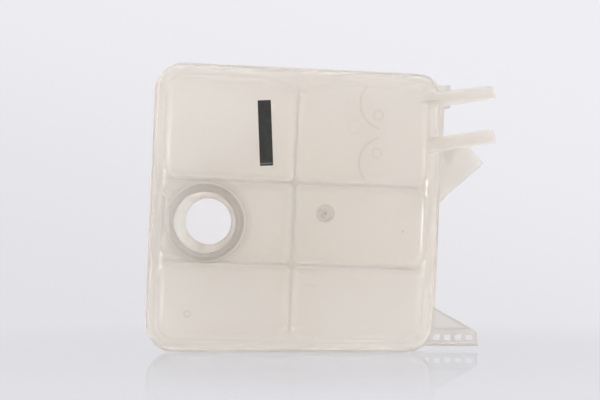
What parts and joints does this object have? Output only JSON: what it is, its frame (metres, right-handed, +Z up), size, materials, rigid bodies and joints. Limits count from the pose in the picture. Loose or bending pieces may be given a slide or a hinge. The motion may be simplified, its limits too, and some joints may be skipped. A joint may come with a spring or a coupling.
{
  "type": "coolant expansion tank",
  "caption": "Translucent moulded coolant expansion tank with pillowed baffled chambers, open filler neck, two vent nipples, an angled outlet stub and a slotted bracket.",
  "frame": {"origin": "middle of the tank's box in plan, on the surface that it stands on", "axes": "+Z up as the tank stands in the picture, +X to the right seen from the filler neck, -Y out of the filler neck. In the car the neck's axis points up."},
  "size_m": [0.2463, 0.137, 0.2064],
  "materials": {
    "natural_plastic": "satin, translucent natural polypropylene",
    "black_foam": "matt"
  },
  "bodies": {
    "root": {"front_shell": "natural_plastic", "rear_shell": "natural_plastic", "black_strip": "black_foam"}
  },
  "joints": []
}
